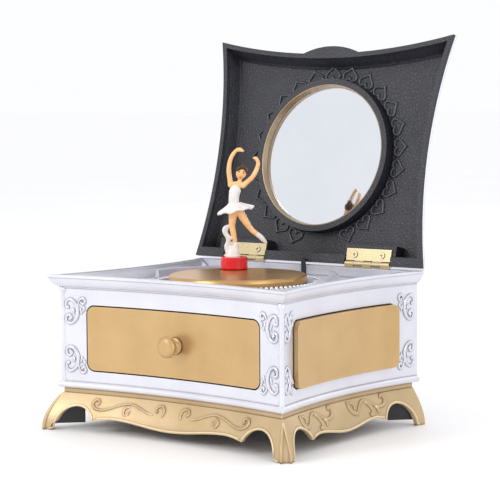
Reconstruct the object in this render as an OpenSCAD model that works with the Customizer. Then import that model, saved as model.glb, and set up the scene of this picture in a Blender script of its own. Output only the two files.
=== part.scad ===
// Ballerina jewellery box: a four-footed box with concave sides, a drawer, a hinged lid with a round
// mirror, and a magnetic dancer that a musical movement under the stage carries round.
// X runs to the right, Y to the back, Z up. The origin is on the table, under the centre of the rim.

/* [Case] */
// Distance between the two front tips of the rim
rim_width = 152; // [150:0.5:154]
// Depth from the front tips of the rim to the back
rim_depth = 124.8; // [124:0.2:126]
// Height of the rim over the table
rim_z = 80; // [79.6:0.1:80.4]
// How far the cornice stands out from the walls
cornice = 4.1; // [4:0.1:4.3]
// How far the rim's tips stand out sideways from the corners of the walls
tip_out = 5.5; // [5.3:0.1:5.7]
// How far the front wall curves in at its middle
front_bow = 7; // [6.6:0.1:7.4]
// How far each side wall curves in at its middle
side_bow = 6.5; // [6:0.1:7]
// Thickness of the case walls
wall = 2.4; // [2:0.1:2.6]

/* [Base] */
// Height of the base under the case
base_h = 21.7; // [21.5:0.1:22]
// How far the feet flare out at the floor
foot_flare = 7.3; // [6.5:0.1:8]
// Thickness of the base skirt
skirt_t = 2.2; // [1.8:0.1:2.4]
// Height of the cusps at the ends of the apron
cusp_z = 6.2; // [5.5:0.1:7]

/* [Drawer] */
// Width of the drawer front
drawer_w = 110; // [106:1:112]
// Height of the drawer front
drawer_h = 32.9; // [32:0.1:34]
// How far the drawer pulls out
drawer_travel = 50; // [40:1:52]
// Diameter of the knob's cap
knob_d = 10.8; // [9:0.1:12]

/* [Stage] */
// Diameter of the stage disc
stage_d = 72; // [70:0.5:73]
// Radius of the dancer's round trip
orbit_r = 27; // [26:0.5:27.5]
// Diameter of the dancer's round base
puck_d = 14.4; // [13.6:0.1:14.8]
// Height of the dancer's round base
puck_h = 6.5; // [6:0.1:7]

/* [Lid] */
// How far the lid opens
lid_open = 103.3; // [100:0.1:105]
// Depth of the lid from its rim to its floor
lid_depth = 9.8; // [9.5:0.1:10.5]
// Radius of the mirror opening
mirror_r = 39.3; // [38:0.1:40]

/* [Movement] */
// Teeth on the spring barrel
barrel_teeth = 60; // [60:60:60]
// Teeth on the pinion that the barrel drives
pinion_teeth = 15; // [15:15:15]
// Teeth on each of the two equal stage gears
stage_teeth = 24; // [24:24:24]

/* [Hidden] */

silver = [0.84, 0.85, 0.89];
gold = [0.83, 0.71, 0.50];
black = [0.16, 0.16, 0.18];
brass = [0.84, 0.76, 0.53];
steel = [0.62, 0.63, 0.65];
zinc = [0.70, 0.70, 0.72];
nylon = [0.93, 0.92, 0.88];

eps = 0.01;
fine = 360;
round_fn = 96;

// Plan of the case: the front and the two sides are circular arcs, and the back is flat.
half_w = rim_width / 2 - tip_out;
back_y = rim_depth / 2;
front_y = -back_y + tip_out;
side_mid_y = (back_y + front_y) / 2;
side_half = (back_y - front_y) / 2;
front_r = (half_w * half_w + front_bow * front_bow) / (2 * front_bow);
side_r = (side_half * side_half + side_bow * side_bow) / (2 * side_bow);
front_cy = front_y + front_bow - front_r;
side_cx = half_w - side_bow + side_r;
cut_depth = 46;

// Heights inside the case
tray_ledge_z = 76;
tray_floor_z = 74.5;
tray_t = 1.5;
stage_z = 79.3;
stage_y = 1;
stage_rim_z = 74.9;
platform_z = 77.2;
platform_r = stage_d / 2 - 2.2;

// Lid and its hinges
lid_rim_z = rim_z + 0.5;
lid_back_y = back_y - 1.4;
lid_floor_z = lid_rim_z + lid_depth;
lid_out = cornice + 0.8;
hinge_y = back_y - 1.9;
hinge_z = rim_z + 1.8;
hinge_x = 41;
leaf_w = 28;
leaf_t = 0.8;
knuckle_r = 1.5;
lid_leaf_l = 8.2;
leaf_screw_x = 8.6;
lid_screw_y = 4.9;
hinge_pin_r = 0.6;
leaf_screw_z = 75.6;
mirror_y = 1.2;
mirror_z = lid_rim_z + 6.8;

// Movement
barrel_module = 0.5;
stage_module = 1.2;
drive_y = stage_y + stage_module * stage_teeth;
barrel_c = barrel_module * (barrel_teeth + pinion_teeth) / 2;
barrel_x = -18;
barrel_y = drive_y + sqrt(barrel_c * barrel_c - barrel_x * barrel_x);
bed_z = base_h;
bed_t = 3;
gear_z = 66.6;
gear_t = 3;
drum_z = 27;
drum_h = 12;
crown_h = 0.9;
pinion_m = 0.47;
cyl_y = barrel_y;
cyl_z = drum_z + drum_h + crown_h / 2 + pinion_m * 6;
cyl_r = 6.5;
brake_y = 47;
brake_z = 34;

// Dancer
dancer_x = -18;
dancer_y = stage_y + sqrt(orbit_r * orbit_r - dancer_x * dancer_x);
dancer_z = stage_z + 0.2;
dancer_turn = 37;

// Height profile of the case's outer face: each point is [how far it stands out, height].
case_profile = [[0.9, base_h], [1.4, 22.3], [1.6, 23.1], [1.4, 24], [0.8, 24.7], [0, 25], [0, 73.2],
    [0.5, 73.3], [0.6, 73.9], [1.0, 74], [1.9, 74.9], [2.7, 76.1], [3.3, 77.4], [3.6, 78.6],
    [cornice, 78.7], [cornice, rim_z - 0.3], [cornice - 0.3, rim_z]];

// Height profile of the base's outer face, which swells out to the toes, with a fascia on top.
function flare(z) = foot_flare * cos(90 * z / 18.9);
base_steps = 10;
base_profile = concat([for (i = [0:base_steps]) let (z = 18.9 * i / base_steps) [flare(z), z]],
    [[-0.5, 19.0], [-0.5, base_h]]);

// Three discs with a shaped rim, which carve the curved walls out of a block.
module wall_cutter(profile, inset) {
    low = profile[0][1] - 1;
    high = profile[len(profile) - 1][1] + 1;
    last = profile[len(profile) - 1];
    for (c = [[0, front_cy, front_r], [side_cx, side_mid_y, side_r], [-side_cx, side_mid_y, side_r]])
        translate([c[0], c[1], 0]) rotate_extrude($fn = fine) polygon(concat(
            [[c[2] - cut_depth, low], [c[2] - profile[0][0] + inset, low]],
            [for (p = profile) [c[2] - p[0] + inset, p[1]]],
            [[c[2] - last[0] + inset, high], [c[2] - cut_depth, high]]));
}

// A body with the case's plan whose outer face follows a height profile.
module walled(profile, back, inset = 0) {
    low = profile[0][1];
    high = profile[len(profile) - 1][1];
    difference() {
        translate([-half_w - 12, front_y - 12, low]) cube([2 * half_w + 24, back - front_y + 12, high - low]);
        wall_cutter(profile, inset);
    }
}

// The same with upright walls, standing out from the case walls by a fixed amount.
module upright(out, low, high, back) {
    difference() {
        translate([-half_w - 12, front_y - 12, low]) cube([2 * half_w + 24, back - front_y + 12, high - low]);
        for (c = [[0, front_cy, front_r], [side_cx, side_mid_y, side_r], [-side_cx, side_mid_y, side_r]])
            translate([c[0], c[1], low - 1]) cylinder(r = c[2] - out, h = high - low + 2, $fn = fine);
    }
}

// A rectangle with round corners, from its low corner.
module rounded(w, h, r) {
    translate([r, 0]) square([w - 2 * r, h]);
    translate([0, r]) square([w, h - 2 * r]);
    for (x = [r, w - r], y = [r, h - r]) translate([x, y]) circle(r = r, $fn = 48);
}

// Runs a drawing in X and Z through the thickness of the box, from low_y to high_y.
module along_y(low_y, high_y) {
    translate([0, high_y, 0]) rotate([90, 0, 0]) linear_extrude(high_y - low_y) children();
}

// Runs a drawing in Y and Z along X, from low_x to high_x.
module along_x(low_x, high_x) {
    translate([low_x, 0, 0]) rotate([90, 0, 90]) linear_extrude(high_x - low_x) children();
}

// A slice of wall that follows the front arc, between two distances behind the wall's face.
module front_slab(near, far, w, low, high, r) {
    intersection() {
        translate([0, front_cy, low - 1]) difference() {
            cylinder(r = front_r + far, h = high - low + 2, $fn = fine);
            translate([0, 0, -1]) cylinder(r = front_r + near, h = high - low + 4, $fn = fine);
        }
        along_y(front_y - 12, front_y + 24) translate([-w / 2, low]) rounded(w, high - low, r);
    }
}

// A slice of wall that follows the right side's arc.
module side_slab(near, far, w, low, high, r) {
    intersection() {
        translate([side_cx, side_mid_y, low - 1]) difference() {
            cylinder(r = side_r + far, h = high - low + 2, $fn = fine);
            translate([0, 0, -1]) cylinder(r = side_r + near, h = high - low + 4, $fn = fine);
        }
        along_x(half_w - 24, half_w + 12) translate([panel_y - w / 2, low]) rounded(w, high - low, r);
    }
}

panel_y = 0.5;
panel_w = 90.2;
panel_low = 31.4;
panel_high = 63.8;
drawer_low = 31.3;
drawer_high = drawer_low + drawer_h;
slot_gap = 0.7;

// The case: four walls with a cornice at the top and a bead at the foot, open above and below.
module case_shell() {
    color(silver) difference() {
        union() {
            difference() {
                walled(case_profile, back_y);
                upright(-wall, base_h - 1, tray_ledge_z, back_y - 2.5);
            }
            for (p = case_screw_at) translate([p[0], p[1], base_h]) cylinder(r = 3.4, h = post_h, $fn = 48);
            for (x = [-60, 60]) translate([x - 1.5, 54.7, base_h]) cube([3, 5.8, post_h]);
        }
        upright(tray_out + 0.15, tray_ledge_z - eps, rim_z + 1, back_y - 2.5);
        front_slab(-3, wall + 1, drawer_w + 2 * slot_gap, drawer_low - slot_gap, drawer_high + slot_gap, 4.6);
        side_slab(-3, wall + 1, panel_w + 1.2, panel_low - 0.6, panel_high + 0.6, 4.6);
        mirror([1, 0, 0]) side_slab(-3, wall + 1, panel_w + 1.2, panel_low - 0.6, panel_high + 0.6, 4.6);
        for (s = [-1, 1]) {
            for (x = [-leaf_screw_x, leaf_screw_x]) translate([s * hinge_x + x, back_y - 3, leaf_screw_z])
                rotate([-90, 0, 0]) cylinder(d = 1.6, h = 2, $fn = 24);
        }
        for (p = case_screw_at) translate([p[0], p[1], base_h - 1]) cylinder(r = post_bore, h = 8, $fn = 32);
    }
}

// The tray: it hangs from a ledge in the cornice, and its floor has a raised round platform for the stage.
tray_out = cornice - 3.5;
tray_profile = [[-5.2, tray_floor_z], [-4.6, 75.2], [-4, 76.4], [-1.4, 78.4], [-0.6, 79.7]];
tray_back = back_y - 2.7;
tray_back_t = 2.2;
module top_tray() {
    color(silver) difference() {
        union() {
            difference() {
                union() {
                    upright(-wall - 0.2, tray_floor_z - tray_t, tray_ledge_z + eps, tray_back);
                    upright(tray_out, tray_ledge_z, 79.7, tray_back);
                }
                walled(concat(tray_profile, [[-0.6, 81]]), tray_back - tray_back_t);
            }
            translate([0, stage_y, tray_floor_z - tray_t])
                cylinder(r = platform_r, h = platform_z - tray_floor_z + tray_t, $fn = round_fn);
            translate([0, stage_y, 0]) rotate_extrude($fn = round_fn)
                polygon([[41, 74.4], [44, 74.4], [43.4, 75.4], [41.6, 75.4]]);
            dividers();
        }
        difference() {
            translate([0, stage_y, tray_floor_z - tray_t - 1])
                cylinder(r = platform_r - 1.6, h = platform_z - tray_floor_z + tray_t - 0.5, $fn = round_fn);
            translate([0, stage_y, 71]) cylinder(r = 5, h = 8, $fn = 48);
        }
        translate([0, stage_y, 71]) cylinder(r = axle_r, h = 5, $fn = 48);
        translate([stop_x, stop_y, 70]) cylinder(r = stop_r + 0.15, h = 12, $fn = 48);
        for (s = [-1, 1]) translate([s * hinge_x - leaf_w / 2 - 0.4, hinge_y - 2.4, 70])
            cube([leaf_w + 0.8, 4, 12]);
    }
}

// A low curved wall on each side of the stage, which parts it from the back corners.
module dividers() {
    intersection() {
        translate([0, stage_y, 0]) rotate_extrude($fn = fine)
            polygon([[50, 74.4], [53, 74.4], [52, 79], [51.4, 79.2], [50.8, 79]]);
        union() for (s = [-1, 1]) translate([s * 42 - 14, -3, 74]) cube([28, 59, 6]);
        upright(-4.4, 74, 80, tray_back - 1);
    }
}

// The stage: a shallow metal cap over the tray's platform.
module stage_disc() {
    r = stage_d / 2;
    color(gold) translate([0, stage_y, 0]) rotate_extrude($fn = round_fn) polygon([[0, platform_z + 0.1],
        [r - 1.9, platform_z + 0.1], [r - 1.9, stage_rim_z], [r - 0.5, stage_rim_z], [r - 0.1, 75.6],
        [r, 77.4], [r - 0.4, 78.7], [r - 1.1, stage_z], [0, stage_z]]);
}

// Lower edge of the apron: height at u, from 0 at the middle to 1 at a cusp.
function apron_z(u) = u < 0.78 ? 4.9 + 1.4 * (1 - cos(180 * u / 0.78))
    : 7.7 - (7.7 - cusp_z) * pow((u - 0.78) / 0.22, 1.6);
arch_r = 11.3;
arch_z = 1.5;
cusp_front = 47.5;
cusp_side = 32.8;
toe_front = 73;
toe_side = 56.4;
side_apron_y = -1.9;

// The opening under one apron: a serpentine edge with a round arch beside each foot.
module apron_opening(cusp, toe) {
    polygon(concat([[cusp, -2], [-cusp, -2]],
        [for (i = [-24:24]) let (u = abs(i) / 24) [cusp * i / 24, apron_z(u)]]));
    for (s = [-1, 1]) scale([s, 1]) {
        intersection() {
            translate([cusp + 11, arch_z]) circle(r = arch_r, $fn = round_fn);
            translate([cusp, 0]) square([30, 20]);
        }
        polygon([[cusp - eps, -2], [cusp - eps, cusp_z], [cusp + 3, cusp_z], [cusp + 11, 8],
            [cusp + 21.4, 5.5], [toe - 1.2, 3], [toe, -2]]);
    }
}

// A hollow down the front corner of each front foot, which deepens towards the toe and fades out above.
flute_r = 15;
flute_in = 9.4;
flute_fade = 0.4;
module corner_flutes(grow = 0) {
    far = flute_in + flute_r;
    for (s = [-1, 1]) translate([s * (half_w + far / sqrt(2)), front_y - far / sqrt(2), 0])
        rotate_extrude($fn = 64) polygon(concat([[0, -2], [far - flute_in - flute_fade + grow, -2]],
            [for (i = [0:base_steps]) let (z = 18.9 * i / base_steps)
                [far - flute_in * cos(90 * z / 18.9) - flute_fade + grow, z]], [[0, 18.9]]));
}

// The base: four flared feet joined by shaped aprons, all one moulding.
module base_skirt() {
    color(gold) difference() {
        walled(base_profile, back_y - 3);
        corner_flutes();
        difference() {
            walled(concat([[flare(-1) - skirt_t, -1]], [for (p = base_profile) [p[0] - skirt_t, p[1]]],
                [[-0.5 - skirt_t, base_h + 1]]), back_y - 3 - skirt_t);
            corner_flutes(skirt_t);
        }
        along_y(front_y - 14, front_y + 13.2) apron_opening(cusp_front, toe_front);
        along_y(back_y - 9, back_y) apron_opening(cusp_front, toe_front);
        for (x = [-90, 58.5]) along_x(x, x + 31.5) translate([side_apron_y, 0])
            apron_opening(cusp_side, toe_side);
    }
}

// The bottom plate closes the case, and a web at each corner stiffens a foot.
plate_t = 2.2;
plate_z = base_h - plate_t;
module bottom_plate() {
    color(black) difference() {
        union() {
            upright(-0.5 - skirt_t - 0.1, plate_z, base_h, back_y - 3.1 - skirt_t);
            intersection() {
                difference() {
                    walled([for (p = base_profile) [p[0] - skirt_t - 0.15, p[1]]], back_y - 3.1 - skirt_t);
                    corner_flutes(skirt_t + 0.15);
                }
                union() for (sx = [-1, 1], sy = [-1, 1]) translate([sx * 62.5, sy < 0 ? -48.5 : 46.5, 2.8])
                    rotate([0, 0, sy > 0 ? (sx > 0 ? 45 : 135) : (sx > 0 ? -45 : -135)])
                        translate([0, -1, 0]) cube([34, 2, plate_z - 2.8 + 0.5]);
            }
        }
        translate([barrel_x, barrel_y, plate_z - 1]) cylinder(r = 3.2, h = 4, $fn = 48);
        for (s = case_screw_at) translate([s[0], s[1], plate_z - 1]) cylinder(r = 1.4, h = 4, $fn = 32);
        for (s = bed_screw_at) translate([s[0], s[1], plate_z - 1]) cylinder(r = 1.35, h = 4, $fn = 32);
    }
}

case_screw_at = [[-54, -48.8], [54, -48.8], [-60, 54.7], [60, 54.7]];
post_h = 7.9;
post_bore = 1.25;
bed_screw_at = [[-31, 17], [31, 17], [-31, 54], [31, 54]];

// Four screws hold the bottom plate.
module case_screws() {
    color(steel) for (s = case_screw_at) translate([s[0], s[1], 0])
        screw(plate_z, 2 * post_bore, 1.5, 4.4, 8.6);
}

// A pan-head screw that points up, with its head under z.
module screw(z, d, head_h, head_d, length) {
    translate([0, 0, z - head_h]) difference() {
        union() {
            cylinder(d = head_d, h = head_h, $fn = 32);
            cylinder(d = d, h = head_h + length, $fn = 32);
        }
        for (a = [0, 90]) rotate([0, 0, a]) translate([-head_d * 0.35, -0.3, -eps])
            cube([head_d * 0.7, 0.6, 0.7]);
    }
}

// A false drawer front on each side, held by a flange inside the wall.
module side_panel() {
    color(gold) {
        side_slab(-3, wall + 0.2, panel_w, panel_low, panel_high, 4);
        side_slab(wall + 0.2, wall + 1.8, panel_w + 7, panel_low - 2.6, panel_high + 3, 3);
    }
}
module side_panel_right() side_panel();
module side_panel_left() mirror([1, 0, 0]) side_panel();

// Drawer: a curved front, a box behind it, and a turned knob with its screw. The box is long enough to
// stay on its runners when the drawer is right out.
tray_y0 = -52;
tray_hold = 10;
tray_y1 = tray_y0 + drawer_travel + tray_hold;
tray_half = 51;
tray_low = 32.6;
tray_high = 56;
front_t = 3;
knob_z = 47.6;
module drawer_front() {
    color(gold) difference() {
        front_slab(0, front_t, drawer_w, drawer_low, drawer_high, 4);
        translate([0, front_y, knob_z]) rotate([-90, 0, 0]) cylinder(d = 2.9, h = 16, $fn = 32);
    }
}
module drawer_tray() {
    color(nylon) difference() {
        translate([-tray_half, tray_y0, tray_low])
            cube([2 * tray_half, tray_y1 - tray_y0, tray_high - tray_low]);
        translate([0, front_cy, tray_low - 1]) cylinder(r = front_r + front_t, h = 40, $fn = fine);
        difference() {
            translate([-tray_half + 1.8, tray_y0, tray_low + 1.8])
                cube([2 * tray_half - 3.6, tray_y1 - tray_y0 - 1.8, 40]);
            translate([0, front_cy, tray_low - 1]) cylinder(r = front_r + front_t + 1.8, h = 60, $fn = fine);
        }
        translate([0, front_y, knob_z]) rotate([-90, 0, 0]) cylinder(d = 2.9, h = 20, $fn = 32);
    }
}
module drawer_knob() {
    r = knob_d / 2;
    face = front_y + front_bow;
    color(gold) translate([0, face, knob_z]) rotate([90, 0, 0]) rotate_extrude($fn = 64) polygon([[1.2, 0],
        [4, 0], [4.2, 0.5], [4, 1], [3.2, 1.5], [2.5, 2.4], [2.3, 3.6], [2.6, 4.8], [3.6, 5.4],
        [r - 0.5, 5.8],
        [r, 6.4], [r, 7.4], [r - 0.5, 8.2], [r - 1.4, 8.9], [r - 2.6, 9.2], [0, 9.3], [0, 6.2], [1.2, 6.2]]);
}
module knob_screw() {
    face = front_y + front_bow + front_t + 1.8;
    color(steel) translate([0, face + 1.6, knob_z]) rotate([90, 0, 0]) {
        cylinder(d = 5, h = 1.6, $fn = 32);
        cylinder(d = 2.4, h = 12.2, $fn = 32);
    }
}

// A plastic runner under each side of the drawer.
module drawer_runner(s) {
    color(black) {
        translate([s * 50 - 5, -44, 30]) cube([10, 56, 2.3]);
        translate([s > 0 ? 51.5 : -53.1, -44, 32.3 - eps]) cube([1.6, 56, 12]);
        for (y = [-36, 6]) translate([s * 50 - 2, y, base_h]) cube([4, 3, 30 - base_h + eps]);
    }
}
module drawer_runner_left() drawer_runner(-1);
module drawer_runner_right() drawer_runner(1);

// Places a shape drawn for the closed lid where the open lid holds it.
module on_lid() {
    translate([0, hinge_y, hinge_z]) rotate([-lid_open, 0, 0]) translate([0, -hinge_y, -hinge_z]) children();
}

// Lid cover: the silver outer shell, with a small roll round its foot and sides that lean in to the top.
cover_z = lid_rim_z + 1.9;
cover_profile = [[lid_out + 0.1, cover_z], [lid_out + 0.5, cover_z + 0.5], [lid_out + 0.4, cover_z + 1.3],
    [lid_out - 0.4, cover_z + 2], [lid_out - 3, cover_z + 6.4], [lid_out - 4.6, cover_z + 8.6],
    [lid_out - 7.4, cover_z + 11], [lid_out - 12, cover_z + 13.4], [lid_out - 17, cover_z + 14.4]];
cover_t = 1.2;
module lid_cover() {
    color(silver) on_lid() difference() {
        walled(cover_profile, lid_back_y);
        walled([for (p = cover_profile) [min(p[0] - 0.5, lid_out - 1.5), p[1] - cover_t]],
            lid_back_y - cover_t);
        hinge_notch();
    }
}

// Room for the hinge knuckles in the back edge of the lid.
module hinge_notch() {
    for (s = [-1, 1]) translate([s * hinge_x - leaf_w / 2 - 0.5, hinge_y - 1.9, lid_rim_z - 1])
        cube([leaf_w + 1, 6, 1 + hinge_z - lid_rim_z + 2.1]);
}

// Lid liner: the black inside, with a rim, a finger tab, hinge pads and a round collar for the mirror.
liner_profile = [[lid_out - 2.6, lid_rim_z], [lid_out - 3.1, lid_rim_z + 2],
    [lid_out - 5.6, lid_floor_z - 1.6], [lid_out - 7, lid_floor_z]];
collar_r = mirror_r + 3.4;
collar_z = lid_rim_z + 2.7;
tab_r = 47;
module lid_liner() {
    color(black) on_lid() difference() {
        union() {
            difference() {
                union() {
                    upright(lid_out, lid_rim_z, lid_rim_z + 1.8, lid_back_y);
                    walled([[lid_out - 1.6, lid_rim_z + 1.8], [lid_out - 4.3, lid_floor_z - 2],
                        [lid_out - 7.6, lid_floor_z + 1.4]], lid_back_y - 1.6);
                    intersection() {
                        translate([0, front_y + front_bow - lid_out - 4.2 + tab_r, lid_rim_z])
                            cylinder(r = tab_r, h = 1.8, $fn = fine);
                        translate([-30, front_y - 6, lid_rim_z]) cube([60, 14, 1.8]);
                    }
                }
                walled(concat([[lid_out - 2.6, lid_rim_z - 1]], liner_profile), hinge_y - 4.5);
            }
            translate([0, mirror_y, collar_z])
                cylinder(r = collar_r, h = lid_floor_z + 1 - collar_z, $fn = round_fn);
            for (s = [-1, 1]) translate([s * (hinge_x + 1.4) - leaf_w / 2 - 3, hinge_y - 10.6, hinge_z + 0.4])
                cube([leaf_w + 4, 8, lid_floor_z - hinge_z]);
        }
        translate([0, mirror_y, collar_z - 1]) cylinder(r = mirror_r + 0.3, h = mirror_z + 2.8 - collar_z,
            $fn = round_fn);
        for (s = [-1, 1], x = [-leaf_screw_x, leaf_screw_x])
            translate([s * hinge_x + x, hinge_y - lid_screw_y, hinge_z - 1])
                cylinder(d = 1.6, h = 6.4, $fn = 24);
        hinge_notch();
        for (s = [-1, 1])
            translate([s * hinge_x - leaf_w / 2 - 0.3, hinge_y - lid_leaf_l - 0.2, lid_rim_z - 1])
                cube([leaf_w + 0.6, lid_leaf_l, 1 + hinge_z - lid_rim_z + 0.4]);
    }
}
module mirror_bezel() {
    color(gold) on_lid() translate([0, mirror_y, 0]) rotate_extrude($fn = round_fn)
        polygon([[mirror_r - 0.4, collar_z + 0.4], [mirror_r + 0.2, collar_z + 0.2],
            [mirror_r + 0.2, mirror_z], [mirror_r - 1.0, mirror_z]]);
}
module lid_mirror() {
    color([0.8, 0.83, 0.86]) on_lid() translate([0, mirror_y, mirror_z])
        cylinder(r = mirror_r + 0.2, h = 1.8, $fn = round_fn);
}

// Hinges: a leaf on the lid, a leaf in the case wall, five knuckles and a pin.
knuckle_w = leaf_w / 5;
module knuckles(which) {
    for (i = which) translate([-leaf_w / 2 + i * knuckle_w + 0.1, 0, 0]) rotate([0, 90, 0])
        cylinder(r = knuckle_r, h = knuckle_w - 0.2, $fn = 48);
}
module knuckle_bore() {
    rotate([0, 90, 0]) cylinder(r = hinge_pin_r + 0.05, h = leaf_w + 4, center = true, $fn = 48);
}
module lid_leaf(s) {
    color(brass) on_lid() translate([s * hinge_x, hinge_y, hinge_z]) difference() {
        union() {
            knuckles([1, 3]);
            difference() {
                translate([-leaf_w / 2, -lid_leaf_l, -leaf_t / 2]) cube([leaf_w, lid_leaf_l - 0.6, leaf_t]);
                for (i = [0, 2, 4]) translate([-leaf_w / 2 + i * knuckle_w - 0.1, -1.8, -1])
                    cube([knuckle_w + 0.2, 3, 2]);
            }
        }
        knuckle_bore();
        for (x = [-leaf_screw_x, leaf_screw_x]) translate([x, -lid_screw_y, -2])
            cylinder(d = 1.9, h = 4, $fn = 24);
    }
}
module case_leaf(s) {
    color(brass) translate([s * hinge_x, hinge_y, hinge_z]) difference() {
        union() {
            knuckles([0, 2, 4]);
            difference() {
                translate([-leaf_w / 2, -knuckle_r, -12]) cube([leaf_w, leaf_t, 12]);
                for (i = [1, 3]) translate([-leaf_w / 2 + i * knuckle_w - 0.1, -2, -1.8])
                    cube([knuckle_w + 0.2, 3, 3]);
            }
        }
        knuckle_bore();
        for (x = [-leaf_screw_x, leaf_screw_x]) translate([x, -3, leaf_screw_z - hinge_z])
            rotate([-90, 0, 0]) cylinder(d = 1.9, h = 4, $fn = 24);
    }
}
module hinge_pin(s) {
    color(steel) translate([s * hinge_x, hinge_y, hinge_z]) rotate([0, 90, 0])
        cylinder(r = hinge_pin_r, h = leaf_w - 0.2, center = true, $fn = 48);
}
module lid_leaf_left() lid_leaf(-1);
module lid_leaf_right() lid_leaf(1);
module case_leaf_left() case_leaf(-1);
module case_leaf_right() case_leaf(1);
module hinge_pin_left() hinge_pin(-1);
module hinge_pin_right() hinge_pin(1);
module hinge_lid_screws() {
    color(brass) on_lid() for (s = [-1, 1], x = [-leaf_screw_x, leaf_screw_x])
        translate([s * hinge_x + x, hinge_y - lid_screw_y, hinge_z]) screw(-leaf_t / 2, 1.5, 0.6, 3.2, 4.6);
}
module hinge_case_screws() {
    color(brass) for (s = [-1, 1], x = [-leaf_screw_x, leaf_screw_x])
        translate([s * hinge_x + x, hinge_y - knuckle_r, leaf_screw_z])
        rotate([-90, 0, 0]) screw(0, 1.5, 0.5, 3.2, 2.2);
}

// Stop: the lid's back rim presses this pin down against its spring as it closes.
stop_x = 1.5;
stop_y = 57.2;
stop_r = 1.3;
stop_top = 83.5;
module stop_pin() {
    color(black) translate([stop_x, stop_y, 0]) {
        translate([0, 0, 50]) cylinder(r = stop_r, h = stop_top - 50, $fn = 48);
        translate([0, 0, spring_high]) cylinder(r = 2.3, h = 1.6, $fn = 48);
    }
}
// The stop's spring stands between the pin's collar and a bracket.
spring_low = 56;
spring_high = 66;
spring_turns = 6;
module stop_spring() {
    color(steel) translate([stop_x, stop_y, 0]) for (i = [0:spring_turns - 1])
        translate([0, 0, spring_low + 0.4 + (spring_high - spring_low - 0.8) * i / (spring_turns - 1)])
            rotate_extrude($fn = 32) translate([2.1, 0]) circle(r = 0.3, $fn = 16);
}
// The bracket that guides the stop pin stands on the movement's bed.
module stop_bracket() {
    color(zinc) difference() {
        union() {
            translate([stop_x - 4, stop_y - 4, spring_low - 1.4]) cube([8, 6.4, 1.4]);
            translate([stop_x - 4, stop_y + 0.9, bed_z + bed_t])
                cube([8, 1.5, spring_low - 1.4 - bed_z - bed_t]);
        }
        translate([stop_x, stop_y, 44]) cylinder(r = stop_r + 0.1, h = 14, $fn = 48);
    }
}

// Movement bed: a cast plate on the bottom plate.
module movement_bed() {
    color(zinc) difference() {
        translate([-34, 13, bed_z]) cube([68, 46.2, bed_t]);
        translate([barrel_x, barrel_y, bed_z - 1]) cylinder(r = 2.1, h = bed_t + 2, $fn = 48);
        translate([0, drive_y, bed_z + 0.8]) cylinder(r = 1.55, h = bed_t, $fn = 48);
        for (s = bed_screw_at) translate([s[0], s[1], bed_z - 1]) cylinder(r = 1.25, h = bed_t + 2, $fn = 32);
    }
}
module movement_screws() {
    color(steel) for (s = bed_screw_at) translate([s[0], s[1], 0])
        screw(plate_z, 2.4, 1.2, 4.6, plate_t + bed_t - 0.4);
}

// A spur gear outline with slim teeth, so that meshed gears keep some backlash.
module gear_2d(m, teeth, phase = 0) {
    root = m * (teeth / 2 - 1.15);
    tip = m * (teeth / 2 + 0.8);
    pitch = 360 / teeth;
    circle(r = root, $fn = max(48, 2 * teeth));
    for (i = [0:teeth - 1]) rotate((i + phase) * pitch) polygon([
        [root - 0.2, -root * sin(pitch * 0.27)], [m * teeth / 2, -m * teeth / 2 * sin(pitch * 0.205)],
        [tip, -tip * sin(pitch * 0.10)], [tip, tip * sin(pitch * 0.10)],
        [m * teeth / 2, m * teeth / 2 * sin(pitch * 0.205)], [root - 0.2, root * sin(pitch * 0.27)]]);
}

// Spring barrel: a toothed drum that turns on the winding arbor.
barrel_gear_h = 2.4;
barrel_angle = atan2(drive_y - barrel_y, -barrel_x);
module spring_barrel() {
    color(brass) translate([barrel_x, barrel_y, drum_z]) difference() {
        union() {
            rotate([0, 0, barrel_angle]) linear_extrude(barrel_gear_h) gear_2d(barrel_module, barrel_teeth);
            cylinder(r = 12.6, h = drum_h, $fn = round_fn);
        }
        translate([0, 0, barrel_gear_h]) cylinder(r = 11.6, h = drum_h - barrel_gear_h - 1, $fn = round_fn);
        translate([0, 0, -1]) cylinder(r = 2.55, h = drum_h + 2, $fn = 48);
    }
    color(brass) translate([barrel_x, barrel_y, drum_z + drum_h - eps]) crown();
}
// Radial teeth on top of the drum drive the cylinder's pinion.
crown_teeth = 48;
module crown() {
    linear_extrude(crown_h) for (i = [0:crown_teeth - 1]) rotate((i + 0.5) * 360 / crown_teeth)
        polygon([[10.2, -0.26], [12.4, -0.3], [12.4, 0.3], [10.2, 0.26]]);
}

// Mainspring: a strip wound in a spiral inside the drum.
spring_coils = 5;
function spiral(r0, r1, turns, steps) = [for (i = [0:steps]) let (t = i / steps, a = 360 * turns * t)
    [(r0 + (r1 - r0) * t) * cos(a), (r0 + (r1 - r0) * t) * sin(a)]];
module mainspring() {
    inner = spiral(3.2, 10.9, spring_coils, 20 * spring_coils);
    outer = spiral(3.6, 11.3, spring_coils, 20 * spring_coils);
    color(steel) translate([barrel_x, barrel_y, drum_z + barrel_gear_h + 0.4])
        linear_extrude(drum_h - barrel_gear_h - 1.8)
            polygon(concat(outer, [for (i = [len(inner) - 1:-1:0]) inner[i]]));
}

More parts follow.
